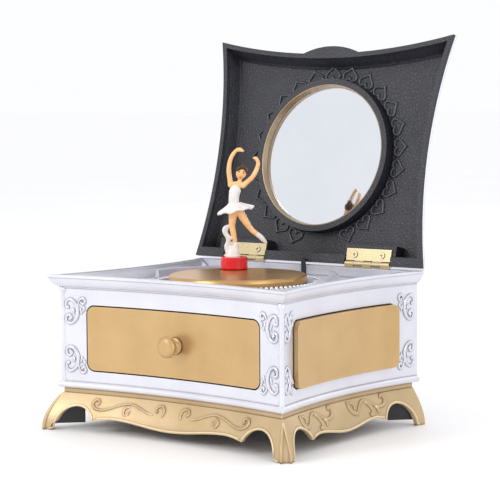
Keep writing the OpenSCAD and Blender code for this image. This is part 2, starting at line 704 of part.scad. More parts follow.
// Winding arbor: it goes down through the bed and the bottom plate to the key.
module winding_arbor() {
    color(steel) translate([barrel_x, barrel_y, 0]) {
        translate([0, 0, 11]) cylinder(r = 2, h = 16.4, $fn = 48);
        translate([0, 0, 27.1]) cylinder(r = 2.5, h = 11.4, $fn = 48);
    }
}
module winding_key() {
    color(brass) translate([barrel_x, barrel_y, 0]) difference() {
        union() {
            translate([0, 0, 10]) cylinder(r = 3.4, h = 8.4, $fn = 48);
            along_y(-0.8, 0.8) {
                for (s = [-1, 1]) translate([s * 6.2, 7]) difference() {
                    circle(r = 4.6, $fn = 48);
                    circle(r = 2.1, $fn = 32);
                }
                translate([-3.4, 4.4]) square([6.8, 6]);
            }
        }
        translate([0, 0, 11]) cylinder(r = 2.02, h = 8, $fn = 48);
    }
}

// Output spindle: its pinion meshes with the barrel, and it carries the drive gear under the stage.
module output_spindle() {
    color(steel) translate([0, drive_y, 0]) {
        translate([0, 0, bed_z + 1]) cylinder(r = 1.5, h = gear_z + gear_t - bed_z - 0.9, $fn = 48);
        translate([0, 0, drum_z + 0.2]) rotate([0, 0, barrel_angle + 180]) linear_extrude(2)
            gear_2d(barrel_module, pinion_teeth, 0.5);
    }
}
module drive_gear() {
    color(nylon) translate([0, drive_y, gear_z]) difference() {
        union() {
            rotate([0, 0, -90]) linear_extrude(gear_t) gear_2d(stage_module, stage_teeth, 0.5);
            translate([0, 0, -3]) cylinder(r = 4, h = 3 + eps, $fn = 48);
        }
        translate([0, 0, -4]) cylinder(r = 1.5, h = gear_t + 8, $fn = 48);
    }
}

// Cylinder: it lies across the bed on two brackets, with rows of pins that pluck the comb.
pin_rows = 18;
pin_step = 1.15;
comb_x = 3.4;
comb_w = 22;
comb_y = cyl_y - cyl_r - 0.75;
wheel_x = 26.2;
crown_pinion_x = -7.6;
brake_teeth = 10;
wheel_teeth = 30;
brake_gap = sqrt(pow(brake_y - cyl_y, 2) + pow(brake_z - cyl_z, 2));
brake_m = 2 * brake_gap / (brake_teeth + wheel_teeth);
brake_angle = atan2(brake_y - cyl_y, cyl_z - brake_z);
module cylinder_brackets() {
    color(zinc) difference() {
        union() {
            translate([0.6, cyl_y - 0.5, bed_z + bed_t]) cube([1.6, 5.5, cyl_z - bed_z - bed_t]);
            translate([0.6, cyl_y, cyl_z]) rotate([0, 90, 0]) cylinder(r = 3.2, h = 1.6, $fn = 48);
            translate([28.6, cyl_y - 4, bed_z + bed_t]) cube([1.6, 8, cyl_z - bed_z - bed_t]);
            translate([28.6, cyl_y, cyl_z]) rotate([0, 90, 0]) cylinder(r = 4, h = 1.6, $fn = 48);
            for (x = [12.4, 28.6]) translate([x, brake_y - 3, bed_z + bed_t])
                cube([1.6, 6, brake_z + 3 - bed_z - bed_t]);
        }
        translate([0, cyl_y, cyl_z]) rotate([0, 90, 0]) cylinder(r = 1.05, h = 34, $fn = 48);
        translate([10, brake_y, brake_z]) rotate([0, 90, 0]) cylinder(r = 0.85, h = 24, $fn = 48);
    }
}
module music_cylinder() {
    color(brass) translate([0, cyl_y, cyl_z]) rotate([0, 90, 0]) {
        translate([0, 0, comb_x - 0.4]) cylinder(r = cyl_r - 0.45, h = comb_w, $fn = round_fn);
        translate([0, 0, crown_pinion_x]) cylinder(r = 1, h = 38, $fn = 32);
        for (i = [0:pin_rows - 1], k = [0:2])
            rotate([0, 0, (i * 137 + k * 120) % 360]) translate([cyl_r - 0.8, 0, comb_x + 1.1 + i * pin_step])
                rotate([0, 90, 0]) cylinder(r = 0.2, h = 0.9, $fn = 16);
    }
}
// At one end of the cylinder's arbor a pinion rides on the drum's crown. At the other a wheel drives
// the brake.
module cylinder_gear() {
    color(brass) translate([0, cyl_y, cyl_z]) rotate([0, 90, 0]) difference() {
        union() {
            translate([0, 0, wheel_x]) linear_extrude(1.6) rotate(brake_angle) gear_2d(brake_m, wheel_teeth);
            translate([0, 0, crown_pinion_x]) linear_extrude(1.8) gear_2d(pinion_m, 12);
        }
        translate([0, 0, -9]) cylinder(r = 1, h = 40, $fn = 32);
    }
}
// The air brake spins fast and keeps the tune slow.
module air_brake() {
    color(nylon) translate([0, brake_y, brake_z]) rotate([0, 90, 0]) {
        translate([0, 0, 12.6]) cylinder(r = 0.8, h = 17.4, $fn = 32);
        translate([0, 0, wheel_x - 0.2]) linear_extrude(2) rotate(brake_angle + 180)
            gear_2d(brake_m, brake_teeth, 0.5);
        for (a = [0, 180]) rotate([0, 0, a]) translate([0.4, -0.3, 15]) cube([4.2, 0.6, 9]);
    }
}

// Tone comb: a steel plate with eighteen teeth, screwed to a block.
comb_z = cyl_z - 0.5;
module tone_comb() {
    color(steel) difference() {
        translate([comb_x, 15, comb_z]) cube([comb_w, comb_y - 15, 1]);
        for (i = [0:pin_rows]) translate([comb_x + 0.525 + i * pin_step - 0.14, 22, comb_z - 1])
            cube([0.28, 20, 3]);
        for (x = [7, 14.4, 21.8]) translate([x, 18, comb_z - 1]) cylinder(r = 1.1, h = 3, $fn = 24);
    }
}
module comb_block() {
    color(zinc) difference() {
        translate([comb_x, 15, bed_z + bed_t]) cube([comb_w, 6.5, comb_z - bed_z - bed_t]);
        for (x = [7, 14.4, 21.8]) translate([x, 18, comb_z - 7]) cylinder(r = 1, h = 8, $fn = 24);
    }
}
module comb_screws() {
    color(brass) for (x = [7, 14.4, 21.8]) translate([x, 18, 0]) mirror([0, 0, 1])
        screw(-comb_z - 1, 2, 1.2, 3.8, 5.6);
}

// Stage drive: a gear and an arm turn on a fixed axle and carry the magnet under the disc.
axle_r = 1.5;
module stage_axle() {
    color(steel) translate([0, stage_y, gear_z - 1.6]) cylinder(r = axle_r, h = 76 - gear_z + 1.6, $fn = 48);
}
module axle_clip() {
    color(steel) translate([0, stage_y, gear_z - 1.2]) difference() {
        cylinder(r = 3.2, h = 0.8, $fn = 48);
        translate([0, 0, -1]) cylinder(r = axle_r, h = 3, $fn = 48);
    }
}
module rotor_gear() {
    color(nylon) translate([0, stage_y, gear_z]) difference() {
        rotate([0, 0, 90]) linear_extrude(gear_t) gear_2d(stage_module, stage_teeth);
        translate([0, 0, -1]) cylinder(r = axle_r + 0.05, h = gear_t + 2, $fn = 48);
    }
}
arm_angle = atan2(dancer_y - stage_y, dancer_x);
arm_z = gear_z + gear_t + 1.2;
module magnet_arm() {
    color(nylon) translate([0, stage_y, arm_z]) rotate([0, 0, arm_angle]) difference() {
        union() {
            translate([0, 0, -1.2]) cylinder(r = 4.6, h = 3.2, $fn = 48);
            translate([0, -3, 0]) cube([orbit_r, 6, 1.6]);
            translate([orbit_r, 0, 0]) cylinder(r = 4.9, h = 3.6, $fn = 48);
        }
        translate([0, 0, -2]) cylinder(r = axle_r + 0.05, h = 9, $fn = 48);
        translate([orbit_r, 0, 1]) cylinder(r = 4, h = 4, $fn = 48);
    }
}
module drive_magnet() {
    color(steel) translate([0, stage_y, arm_z + 1]) rotate([0, 0, arm_angle]) translate([orbit_r, 0, 0])
        cylinder(r = 4, h = 3, $fn = 48);
}

// Dancer: a red base with a ball magnet inside, and a slim figure that faces the front right.
ball_r = 2.4;
ball_z = dancer_z + 3;
module dancer_magnet() {
    color(steel) translate([dancer_x, dancer_y, ball_z]) sphere(r = ball_r, $fn = 48);
}
module dancer_base() {
    color("red") translate([dancer_x, dancer_y, dancer_z]) difference() {
        rotate_extrude($fn = 64) polygon([[0, 0], [puck_d / 2 - 0.4, 0], [puck_d / 2, 0.4],
            [puck_d / 2, puck_h - 0.5], [puck_d / 2 - 0.5, puck_h], [0, puck_h]]);
        translate([0, 0, ball_z - dancer_z]) sphere(r = ball_r + 0.1, $fn = 48);
    }
}
// Joins two round ends of a limb, each given as [across, out, up, radius].
module limb(a, b) {
    hull() {
        translate([a[0], a[1], a[2]]) sphere(r = a[3], $fn = 20);
        translate([b[0], b[1], b[2]]) sphere(r = b[3], $fn = 20);
    }
}
module chain(points) {
    for (i = [0:len(points) - 2]) limb(points[i], points[i + 1]);
}
module dancer_figure() {
    color(nylon) translate([dancer_x, dancer_y, dancer_z + puck_h]) rotate([0, 0, dancer_turn]) {
        translate([-0.8, 0, 0]) cylinder(r = 3.6, h = 1.2, $fn = 32);
        chain([[0.6, 0, 1.4, 1.3], [0.6, 0, 7, 1.25], [-0.9, 0, 16, 1.8], [-0.6, 0, 24, 2.3]]);
        chain([[-3.2, 0, 1.2, 0.8], [-3.6, 0, 9, 0.9], [-5.4, 0, 15, 0.8], [-4.2, 0, 23.4, 0.8]]);
        chain([[3.6, 0, 23.6, 2.3], [8.8, 0, 15.4, 1.7], [13.8, 0, 10.9, 1.3], [16.9, 0, 7.8, 0.8]]);
        translate([0.8, 0, 22.8]) rotate([0, -8, 0]) scale([1, 0.68, 1])
            cylinder(r1 = 9, r2 = 3.4, h = 5.4, $fn = 40);
        chain([[0.1, 0, 27.6, 2.8], [0.3, 0, 33.6, 2.7], [2, 0, 37.4, 2.8], [3.3, 0, 40.6, 1.2],
            [4, 0, 44.2, 2.9]]);
        chain([[-1.4, 0, 38.2, 1.4], [-2.9, 0, 47.3, 1.1], [-1.5, 0, 52.2, 1], [1.4, 0, 55.5, 0.9],
            [4.7, 0, 55.1, 0.8]]);
        chain([[5.2, 0, 37.8, 1.4], [10.5, 0, 42.3, 1.2], [13.4, 0, 49, 1], [11.3, 0, 51.4, 0.8]]);
    }
}

case_shell();
top_tray();
stage_disc();
base_skirt();
bottom_plate();
side_panel_left();
side_panel_right();
drawer_front();
drawer_tray();
drawer_knob();
knob_screw();
drawer_runner_left();
drawer_runner_right();
lid_cover();
lid_liner();
mirror_bezel();
lid_mirror();
lid_leaf_left();
lid_leaf_right();
case_leaf_left();
case_leaf_right();
hinge_pin_left();
hinge_pin_right();
hinge_lid_screws();
hinge_case_screws();
case_screws();
stop_pin();
stop_spring();
stop_bracket();
movement_bed();
movement_screws();
spring_barrel();
mainspring();
winding_arbor();
winding_key();
output_spindle();
drive_gear();
cylinder_brackets();
music_cylinder();
cylinder_gear();
tone_comb();
comb_block();
comb_screws();
air_brake();
stage_axle();
axle_clip();
rotor_gear();
magnet_arm();
drive_magnet();
dancer_magnet();
dancer_base();
dancer_figure();
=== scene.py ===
"""Looks of the ballerina jewellery box. Lengths are in millimetres until the mesh is made."""
import math

import bmesh
import bpy
import numpy as np
from mathutils import Matrix, Vector, noise


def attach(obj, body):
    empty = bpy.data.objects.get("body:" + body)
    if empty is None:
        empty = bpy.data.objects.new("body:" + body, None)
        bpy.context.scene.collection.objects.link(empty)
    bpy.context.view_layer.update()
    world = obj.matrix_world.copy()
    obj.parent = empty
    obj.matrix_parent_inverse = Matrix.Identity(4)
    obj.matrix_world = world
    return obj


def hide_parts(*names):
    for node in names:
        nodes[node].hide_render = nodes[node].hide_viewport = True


MM = 0.001

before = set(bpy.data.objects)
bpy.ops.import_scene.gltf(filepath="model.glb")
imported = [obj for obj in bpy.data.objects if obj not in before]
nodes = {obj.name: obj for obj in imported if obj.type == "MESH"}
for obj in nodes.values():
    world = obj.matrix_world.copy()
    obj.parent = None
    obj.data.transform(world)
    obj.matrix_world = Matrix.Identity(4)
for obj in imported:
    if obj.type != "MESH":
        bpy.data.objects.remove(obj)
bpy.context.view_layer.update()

# The shape of the case, as in the part's source.
HALF_W, FRONT_Y, BACK_Y = 70.5, -56.9, 62.4
FRONT_BOW, SIDE_BOW = 7.0, 6.5
FRONT_R = (HALF_W**2 + FRONT_BOW**2) / (2 * FRONT_BOW)
FRONT_CY = FRONT_Y + FRONT_BOW - FRONT_R
SIDE_MID = (BACK_Y + FRONT_Y) / 2
SIDE_HALF = (BACK_Y - FRONT_Y) / 2
SIDE_R = (SIDE_HALF**2 + SIDE_BOW**2) / (2 * SIDE_BOW)
SIDE_CX = HALF_W - SIDE_BOW + SIDE_R
FLARE, APRON_TOP = 7.3, 18.9
CUSP_FRONT, CUSP_SIDE = 47.5, 32.8
TOE_FRONT, TOE_SIDE = 73.0, 56.4
SIDE_APRON_Y = -1.9
ARCH_R, ARCH_Z = 11.3, 1.5
FLUTE_R, FLUTE_IN = 15.0, 9.4
STAGE_Y = 1.0
RING_R, RING_Z = 42.5, 75.5
HINGE_Y, HINGE_Z = 60.5, 81.8
LID_OPEN = math.radians(103.3)
LID_FLOOR_Z = 90.3
MIRROR_Y = 1.2
# The dancer stands on the stage's disc, off its centre, on her magnet base.
STAGE_TOP, PUCK_H = 79.5, 6.5
DANCER_R, DANCER_X = 27.0, -18.0
DANCER = (DANCER_X, STAGE_Y + math.sqrt(DANCER_R**2 - DANCER_X**2), STAGE_TOP + PUCK_H)
DANCER_TURN = math.radians(37)

# The relief: the scroll groups' height and lower ends, and the rings of beads and hearts.
SCROLL_H = 13.4
SCROLL_LOW = ((54.6, 1), (30.0, -1))
FRONT_EDGE_X = 69.0
SIDE_EDGE_FRONT, SIDE_EDGE_BACK = -55.0, 60.6
BEAD_COUNT, BEAD_R = 98, 1.05
HEART_COUNT, HEART_RING_R, HEART_SIZE = 25, 43.6, 8.2
HEART_LIMIT_Y = 50.5
PEARL_COUNT, PEARL_R, PEARL_LIMIT_Y = 120, 0.55, 44.0


# ---------------------------------------------------------------- surfaces


def flare(z):
    """How far the base stands out from the case at a height: most at the floor, none at its top."""
    return FLARE * math.cos(math.pi / 2 * max(0.0, min(z, APRON_TOP)) / APRON_TOP)


def on_front(x, z, out):
    """A point of the front wall at x, standing out by a distance."""
    r = FRONT_R - out
    return Vector((x, FRONT_CY + math.sqrt(r * r - x * x), z))


def on_side(sign):
    """The right wall for +1 and the left wall for -1, as a function of y, z and the distance out."""

    def place(y, z, out):
        r = SIDE_R - out
        d = y - SIDE_MID
        return Vector((sign * (SIDE_CX - math.sqrt(r * r - d * d)), y, z))

    return place


def flared(wall):
    """The same wall's surface on the base, which swells out towards the floor."""

    def place(u, z, out):
        return wall(u, z, out + flare(z))

    return place


def on_lid(p):
    """Where the open lid holds a point given for the closed lid."""
    y, z = p[1] - HINGE_Y, p[2] - HINGE_Z
    c, s = math.cos(LID_OPEN), math.sin(LID_OPEN)
    return Vector((p[0], HINGE_Y + y * c + z * s, HINGE_Z - y * s + z * c))


def lid_inside(x, y, out):
    """A point of the lid's inner floor, standing out of it by a distance."""
    return on_lid((x, y, LID_FLOOR_Z - out))


# ---------------------------------------------------------------- meshes


def make(name, verts, faces, body, mat):
    """A smooth mesh from points in millimetres, riding on a body."""
    mesh = bpy.data.meshes.new(name)
    mesh.from_pydata([tuple(c * MM for c in v) for v in verts], [], faces)
    mesh.validate()
    mesh.materials.append(mat)
    obj = bpy.data.objects.new(name, mesh)
    bpy.context.scene.collection.objects.link(obj)
    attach(obj, body)
    clean(obj)
    return obj


def smooth_path(points, per=6, closed=False):
    """A Catmull-Rom curve through points of any dimension."""
    pts = [np.array(p, float) for p in points]
    n = len(pts)
    out = []
    spans = n if closed else n - 1
    for i in range(spans):
        if closed:
            a, b, c, d = (pts[(i + k - 1) % n] for k in range(4))
        else:
            b, c = pts[i], pts[i + 1]
            a = pts[i - 1] if i else 2 * b - c
            d = pts[i + 2] if i + 2 < n else 2 * c - b
        for k in range(per):
            t = k / per
            square = (2 * a - 5 * b + 4 * c - d) * t * t
            cube = (3 * b - a - 3 * c + d) * t**3
            out.append(0.5 * (2 * b + (c - a) * t + square + cube))
    if not closed:
        out.append(pts[-1])
    return out


class Soup:
    """Vertices and faces gathered into one mesh."""

    def __init__(self):
        self.verts, self.faces = [], []

    def add(self, verts, faces):
        base = len(self.verts)
        self.verts += list(verts)
        self.faces += [tuple(base + i for i in f) for f in faces]

    def rings(self, rings, closed=False):
        """A skin over rings of equal length, capped at both ends unless it closes on itself."""
        n = len(rings[0])
        verts = [v for ring in rings for v in ring]
        faces = []
        count = len(rings)
        for i in range(count if closed else count - 1):
            j = (i + 1) % count
            for k in range(n):
                m = (k + 1) % n
                faces.append((i * n + k, i * n + m, j * n + m, j * n + k))
        if not closed:
            faces.append(tuple(reversed(range(n))))
            faces.append(tuple((count - 1) * n + k for k in range(n)))
        self.add(verts, faces)

    def tube(self, path, sides=12, flat=1.0, facing=None):
        """A round or flattened limb: path points are (x, y, z, radius)."""
        pts = [Vector(p[:3]) for p in path]
        radii = [float(p[3]) for p in path]
        rings = []
        side = None
        for i, p in enumerate(pts):
            t = (pts[min(i + 1, len(pts) - 1)] - pts[max(i - 1, 0)]).normalized()
            if side is None:
                ref = Vector(facing or (0, 1, 0))
                if abs(t.dot(ref)) > 0.95:
                    ref = Vector((1, 0, 0))
                side = t.cross(ref).normalized()
            side = (side - t * side.dot(t)).normalized()
            up = side.cross(t)
            ring = []
            for k in range(sides):
                a = 2 * math.pi * k / sides
                ring.append(p + side * (radii[i] * math.cos(a)) + up * (radii[i] * flat * math.sin(a)))
            rings.append(ring)
        # Each end is a dome of three smaller rings.
        for end, inner in ((0, 1), (-1, -2)):
            away = (pts[end] - pts[inner]).normalized()
            dome = []
            for f, lift in ((0.86, 0.5), (0.5, 0.86), (0.12, 0.98)):
                centre = pts[end] + away * (radii[end] * lift)
                dome.append([centre + (v - pts[end]) * f for v in rings[end]])
            rings = dome[::-1] + rings if end == 0 else rings + dome
        self.rings(rings)

    def relief(self, place, path, width, height, sides=8, closed=False, sink=0.25, per=6):
        """A raised stroke on a surface. Path points are (u, v) or (u, v, share of the width)."""
        raw = [tuple(p) + (1.0,) if len(p) == 2 else tuple(p) for p in path]
        pts = smooth_path(raw, per, closed)
        n = len(pts)
        rings = []
        for i, (u, v, share) in enumerate(pts):
            a = pts[(i + 1) % n] if closed else pts[min(i + 1, n - 1)]
            b = pts[(i - 1) % n] if closed else pts[max(i - 1, 0)]
            here = place(u, v, 0)
            t = (place(a[0], a[1], 0) - place(b[0], b[1], 0)).normalized()
            step = 0.05
            du = place(u + step, v, 0) - place(u - step, v, 0)
            dv = place(u, v + step, 0) - place(u, v - step, 0)
            normal = du.cross(dv).normalized()
            if normal.dot(place(u, v, 0.5) - here) < 0:
                normal.negate()
            across = normal.cross(t).normalized()
            share = max(share, 0.05)
            w, h = width / 2 * share, height * min(1.0, share**0.7)
            ring = []
            for k in range(sides):
                q = 2 * math.pi * k / sides
                depth = 1 if math.sin(q) > 0 else sink / height
                ring.append(here + across * (w * math.cos(q)) + normal * (h * math.sin(q) * depth))
            rings.append(ring)
        self.rings(rings, closed=closed)

    def ball(self, centre, radius, squash=(1, 1, 1), turn=None, segments=16, rows=10):
        """A ball, squashed along its axes and then turned."""
        verts, faces = [], []
        for i in range(rows + 1):
            a = math.pi * i / rows
            for k in range(segments):
                b = 2 * math.pi * k / segments
                x, y, z = math.sin(a) * math.cos(b), math.sin(a) * math.sin(b), math.cos(a)
                v = Vector((x * squash[0], y * squash[1], z * squash[2])) * radius
                if turn:
                    v = turn @ v
                verts.append(Vector(centre) + v)
        for i in range(rows):
            for k in range(segments):
                m = (k + 1) % segments
                here, below = i * segments, (i + 1) * segments
                faces.append((here + k, below + k, below + m, here + m))
        self.add(verts, faces)

    def make(self, name, body, mat, slot):
        return make(name, self.verts, self.faces, body, mat)


def clean(obj):
    """Joins doubled points and turns the faces outwards."""
    bm = bmesh.new()
    bm.from_mesh(obj.data)
    bmesh.ops.remove_doubles(bm, verts=bm.verts, dist=2e-6)
    bmesh.ops.dissolve_degenerate(bm, edges=bm.edges, dist=1e-7)
    bmesh.ops.recalc_face_normals(bm, faces=bm.faces)
    bm.to_mesh(obj.data)
    bm.free()
    obj.data.polygons.foreach_set("use_smooth", [True] * len(obj.data.polygons))


def applied(obj, *mods):
    """Adds modifiers from (type, settings) pairs and applies them to the mesh."""
    for kind, settings in mods:
        mod = obj.modifiers.new(kind.lower(), kind)
        for key, value in settings.items():
            setattr(mod, key, value)
    graph = bpy.context.evaluated_depsgraph_get()
    mesh = bpy.data.meshes.new_from_object(obj.evaluated_get(graph))
    obj.modifiers.clear()
    obj.data = mesh
    obj.data.polygons.foreach_set("use_smooth", [True] * len(obj.data.polygons))
    return obj


# ---------------------------------------------------------------- materials


def srgb(r, g, b):
    """A colour of three bytes as the linear value that a shader socket takes."""
    linear = []
    for share in (r / 255, g / 255, b / 255):
        linear.append(share / 12.92 if share <= 0.04045 else ((share + 0.055) / 1.055) ** 2.4)
    return tuple(linear) + (1.0,)


class Graph:
    """A material's node tree, built up from small helpers. Lengths are in millimetres."""

    def __init__(self, name):
        self.mat = bpy.data.materials.new(name)
        self.mat.use_nodes = True
        self.tree = self.mat.node_tree
        self.bsdf = self.tree.nodes["Principled BSDF"]

    def node(self, kind, inputs=(), **settings):
        n = self.tree.nodes.new(kind)
        for key, value in settings.items():
            setattr(n, key, value)
        for key, value in dict(inputs).items():
            if hasattr(value, "is_output"):
                self.tree.links.new(value, n.inputs[key])
            else:
                n.inputs[key].default_value = value
        return n

    def mix(self, fac, a, b, kind="MIX"):
        n = self.tree.nodes.new("ShaderNodeMix")
        n.data_type, n.blend_type = "RGBA", kind
        for index, value in ((0, fac), (6, a), (7, b)):
            if hasattr(value, "is_output"):
                self.tree.links.new(value, n.inputs[index])
            else:
                n.inputs[index].default_value = value
        return n.outputs[2]

    def ramp(self, value, low, high, out_low=0.0, out_high=1.0):
        spans = {"From Min": low, "From Max": high, "To Min": out_low, "To Max": out_high}
        return self.node("ShaderNodeMapRange", {"Value": value} | spans).outputs[0]

    def coords(self, per_mm, stretch=(1, 1, 1)):
        where = self.node("ShaderNodeTexCoord").outputs["Object"]
        scale = tuple(per_mm / MM * s for s in stretch)
        return self.node("ShaderNodeMapping", {"Vector": where, "Scale": scale}).outputs[0]

    def noise(self, per_mm, detail=3.0, stretch=(1, 1, 1)):
        inputs = {"Vector": self.coords(per_mm, stretch), "Scale": 1.0, "Detail": detail}
        return self.node("ShaderNodeTexNoise", inputs).outputs[0]

    def cells(self, per_mm):
        """The distance to the edge of irregular cells."""
        vector = self.coords(per_mm)
        wobble = self.node("ShaderNodeTexNoise", {"Vector": vector, "Scale": 1.3, "Detail": 2.0})
        inputs = {"Vector": self.mix(0.12, vector, wobble.outputs[1]), "Scale": 1.0}
        return self.node("ShaderNodeTexVoronoi", inputs, feature="DISTANCE_TO_EDGE").outputs["Distance"]

    def hollow(self, distance_mm):
        """1 in the open and less in crevices."""
        inputs = {"Distance": distance_mm * MM}
        return self.node("ShaderNodeAmbientOcclusion", inputs, samples=6).outputs["AO"]

    def edges(self, distance_mm):
        """Near 1 on flat faces and less along outward edges."""
        inputs = {"Distance": distance_mm * MM}
        return self.node("ShaderNodeAmbientOcclusion", inputs, samples=6, inside=True).outputs["AO"]

    def bump(self, height, distance_mm, strength=1.0, normal=None):
        inputs = {"Height": height, "Distance": distance_mm * MM, "Strength": strength}
        if normal is not None:
            inputs["Normal"] = normal
        return self.node("ShaderNodeBump", inputs).outputs[0]

    def soft_edges(self, radius_mm):
        return self.node("ShaderNodeBevel", {"Radius": radius_mm * MM}, samples=4).outputs[0]

    def finish(self, color, rough, normal=None, **values):
        for key, value in (("Base Color", color), ("Roughness", rough), ("Normal", normal)):
            if value is None:
                continue
            if hasattr(value, "is_output"):
                self.tree.links.new(value, self.bsdf.inputs[key])
            else:
                self.bsdf.inputs[key].default_value = value
        for key, value in values.items():
            self.bsdf.inputs[key.replace("_", " ")].default_value = value
        return self.mat


def plated(
    name, color, shade, rough, metallic, brush, brush_strength,
    crevice_shade, crevice_shade_mm=1.2, edge_highlight=None, bevel=0.3, mottle=0.5, **values,
):
    """Satin plate: slow colour drift, fine brushing or spray grain, painted shade in the hollows and painted
    highlights on outward edges.
    """
    g = Graph(name)
    drift = g.ramp(g.noise(0.05, 2.0), 0.3, 0.7)
    colour = g.mix(drift, color, shade)
    speck = g.ramp(g.noise(1.6, 3.0), 0.25, 0.75, 1.0 - 0.06 * mottle, 1.0 + 0.05 * mottle)
    grey = g.node("ShaderNodeCombineColor", {0: speck, 1: speck, 2: speck}).outputs[0]
    colour = g.mix(1.0, colour, grey, "MULTIPLY")
    # Painted shade: crevices darken towards the given shade colour.
    hollow = g.ramp(g.hollow(crevice_shade_mm), 0.45, 0.95, 1.0, 0.0)
    colour = g.mix(hollow, colour, crevice_shade)
    # Painted highlight: outward edges turn lighter.
    if edge_highlight:
        edge = g.ramp(g.edges(0.6), 0.35, 0.8, 0.7, 0.0)
        colour = g.mix(edge, colour, edge_highlight)
    grain = g.noise(2.6, 4.0, brush)
    roughness = g.ramp(grain, 0.2, 0.8, rough - 0.06, rough + 0.08)
    normal = g.bump(grain, 0.02, brush_strength, g.soft_edges(bevel))
    return g.finish(colour, roughness, normal, Metallic=metallic, **values)


def moulded(name, color, shade, rough, bump_mm=0.02, per_mm=2.0, bevel=0.25, drift_per_mm=0.12, **values):
    """Moulded plastic or paint with an orange-peel surface."""
    g = Graph(name)
    colour = g.mix(g.ramp(g.noise(drift_per_mm, 3.0), 0.3, 0.7), color, shade)
    peel = g.noise(per_mm, 2.0)
    roughness = g.ramp(g.noise(0.4, 3.0), 0.25, 0.75, rough - 0.05, rough + 0.07)
    normal = g.bump(peel, bump_mm, 0.5, g.soft_edges(bevel))
    return g.finish(colour, roughness, normal, **values)


def leather(name):
    """Black grained lining: irregular cells with creases, a duller crease colour, and painted shade
    darkening it in its hollows and near its walls.
    """
    g = Graph(name)
    cell = g.cells(0.62)
    fine = g.noise(2.4, 3.0)
    crease = g.ramp(cell, 0.0, 0.28)
    large = g.noise(0.035, 2.0)
    colour = g.mix(g.ramp(large, 0.3, 0.7), srgb(44, 45, 54), srgb(54, 55, 64))
    colour = g.mix(g.ramp(crease, 0.0, 1.0, 0.55, 0.0), colour, srgb(14, 14, 18))
    # Painted shade: darker where the lid's walls and raised parts are near.
    colour = g.mix(g.ramp(g.hollow(14.0), 0.35, 0.75, 0.75, 0.0), colour, srgb(16, 16, 20))
    height = g.mix(0.22, crease, fine)
    roughness = g.ramp(fine, 0.2, 0.8, 0.4, 0.54)
    return g.finish(colour, roughness, g.bump(height, 0.16, 0.9, g.soft_edges(0.3)))


def flock(name):
    """Short dark pile with a soft sheen."""
    g = Graph(name)
    fuzz = g.noise(5.0, 4.0)
    colour = g.mix(g.ramp(g.noise(0.2, 4.0), 0.3, 0.7), srgb(28, 28, 32), srgb(44, 44, 50))
    return g.finish(colour, 0.95, g.bump(fuzz, 0.15, 0.9), Sheen_Weight=0.35, Sheen_Roughness=0.5)


def looking_glass(name):
    """Silvered glass with the faintest haze and dust."""
    g = Graph(name)
    haze = g.ramp(g.noise(0.15, 4.0), 0.35, 0.8, 0.03, 0.07)
    tint = g.mix(g.ramp(g.noise(0.03, 2.0), 0.3, 0.7), srgb(226, 230, 236), srgb(232, 234, 240))
    wave = g.bump(g.noise(0.02, 1.0), 0.01, 0.1)
    return g.finish(tint, haze, wave, Metallic=1.0)


# In every plated finish below, the colour given for the hollows is painted shade and the colour given for
# outward edges is a painted highlight.
SILVER = plated(
    "silver_satin", srgb(224, 224, 232), srgb(216, 216, 225), 0.32, 0.4, (1, 1, 1), 0.14,
    crevice_shade=srgb(96, 97, 108), crevice_shade_mm=0.9, edge_highlight=srgb(238, 239, 246), Specular_IOR_Level=0.55,
)
RELIEF = plated(
    "silver_relief", srgb(226, 227, 236), srgb(216, 217, 228), 0.15, 0.55, (1, 1, 1), 0.1,
    crevice_shade=srgb(118, 119, 130), crevice_shade_mm=0.8, edge_highlight=srgb(250, 250, 254), bevel=0.1, Specular_IOR_Level=0.7,
)
TRAY = plated(
    "silver_tray", srgb(214, 215, 223), srgb(200, 202, 212), 0.3, 0.4, (1, 1, 1), 0.12,
    crevice_shade=srgb(120, 121, 132), crevice_shade_mm=1.2, edge_highlight=srgb(240, 240, 246),
)
GOLD = plated(
    "gold_satin", srgb(204, 170, 120), srgb(195, 161, 111), 0.34, 0.6, (0.12, 0.12, 1.4), 0.22,
    crevice_shade=srgb(112, 80, 42), crevice_shade_mm=0.9, edge_highlight=srgb(240, 214, 164), mottle=0.8,
)
BASE_GOLD = plated(
    "gold_base", srgb(200, 176, 138), srgb(187, 162, 122), 0.38, 0.5, (1, 1, 1), 0.14,
    crevice_shade=srgb(104, 72, 40), crevice_shade_mm=1.5, edge_highlight=srgb(246, 226, 188), mottle=1.2,
)
STAGE_GOLD = plated(
    "gold_stage", srgb(204, 164, 108), srgb(192, 150, 94), 0.3, 0.8, (1, 1, 1), 0.12,
    crevice_shade=srgb(120, 84, 48), edge_highlight=srgb(240, 208, 150), mottle=0.6,
)
BEZEL_GOLD = plated(
    "gold_bezel", srgb(176, 156, 128), srgb(158, 138, 110), 0.3, 0.75, (1, 1, 1), 0.1,
    crevice_shade=srgb(70, 52, 32), crevice_shade_mm=0.8, mottle=0.5,
)
BRASS = plated(
    "brass_plate", srgb(206, 190, 152), srgb(192, 174, 132), 0.3, 0.7, (0.3, 1.5, 1.5), 0.05,
    crevice_shade=srgb(92, 70, 38), crevice_shade_mm=0.6, edge_highlight=srgb(252, 244, 222), bevel=0.15, mottle=1.0,
)
STEEL = plated(
    "steel_bright", srgb(190, 192, 196), srgb(170, 172, 178), 0.26, 0.95, (1, 1, 0.2), 0.3,
    crevice_shade=srgb(70, 70, 74), crevice_shade_mm=0.6, bevel=0.1,
)
ZINC = plated(
    "zinc_cast", srgb(168, 170, 176), srgb(150, 152, 158), 0.48, 0.85, (1, 1, 1), 0.5,
    crevice_shade=srgb(84, 84, 90), bevel=0.2, mottle=1.6,
)
BLACK = moulded("black_moulded", srgb(34, 34, 38), srgb(46, 46, 51), 0.45)
RIM_BLACK = moulded(
    "black_rim", srgb(58, 59, 68), srgb(70, 71, 80), 0.26, 0.015, 1.2, Specular_IOR_Level=0.6,
)
